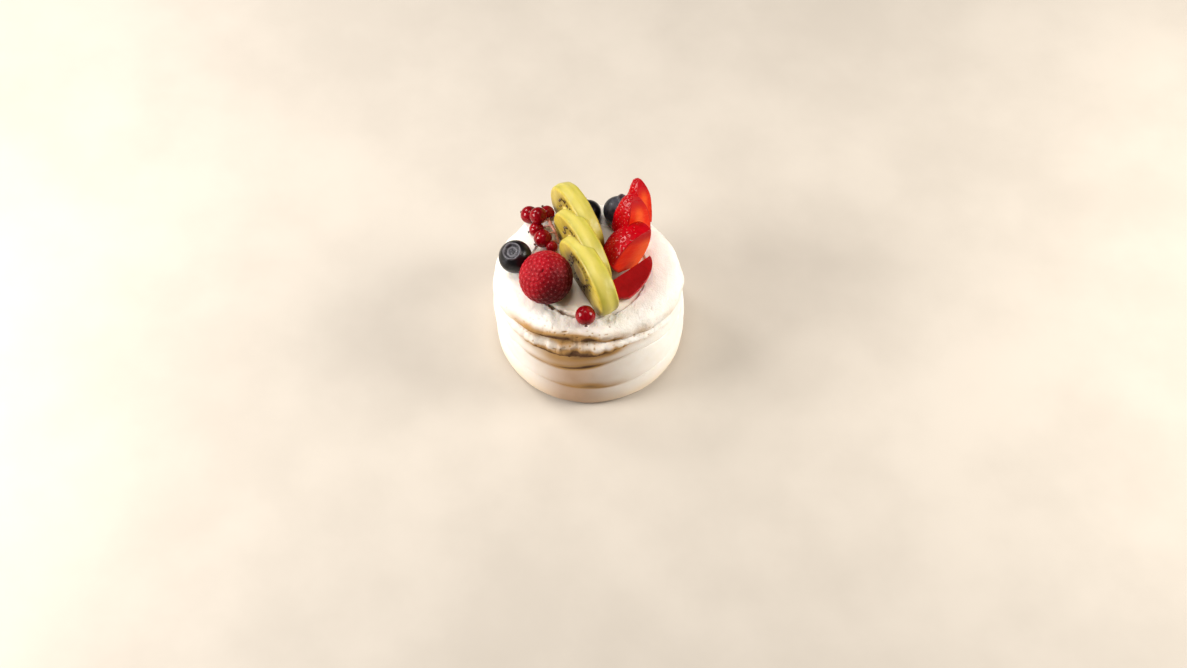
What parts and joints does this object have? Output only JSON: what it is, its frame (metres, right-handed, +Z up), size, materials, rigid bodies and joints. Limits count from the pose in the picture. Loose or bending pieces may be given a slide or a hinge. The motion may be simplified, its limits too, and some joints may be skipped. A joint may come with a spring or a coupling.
{
  "type": "pavlova",
  "caption": "Small single-portion pavlova: a piped meringue nest filled with cream and topped with kiwi slices, strawberry wedges, blueberries, redcurrants and a raspberry",
  "frame": {"origin": "the middle of the flat base, on the surface that the pavlova rests on", "axes": "+Z up; the side that the picture shows from the front faces -Y; +X to its right"},
  "size_m": [0.0883, 0.0876, 0.0746],
  "materials": {
    "meringue": "matte baked meringue, warm white",
    "cream": "soft satin cream",
    "kiwi": "moist yellow-green flesh, pale core, dark seeds",
    "strawberry": "glossy red skin, paler orange-red cut faces",
    "blueberry": "blue-black skin with a grey bloom",
    "currant": "very glossy translucent red",
    "stem": "dull pinkish beige",
    "raspberry": "soft satin crimson"
  },
  "bodies": {
    "root": {"meringue": "meringue", "cream": "cream", "kiwi_front": "kiwi", "kiwi_middle": "kiwi", "kiwi_back": "kiwi", "strawberry_1": "strawberry", "strawberry_2": "strawberry", "strawberry_3": "strawberry", "strawberry_4": "strawberry", "blueberry_left": "blueberry", "blueberry_middle": "blueberry", "blueberry_right": "blueberry", "currant_1": "currant", "currant_2": "currant", "currant_3": "currant", "currant_4": "currant", "currant_5": "currant", "currant_6": "currant", "currant_front": "currant", "currant_stem": "stem", "raspberry": "raspberry"}
  },
  "joints": []
}
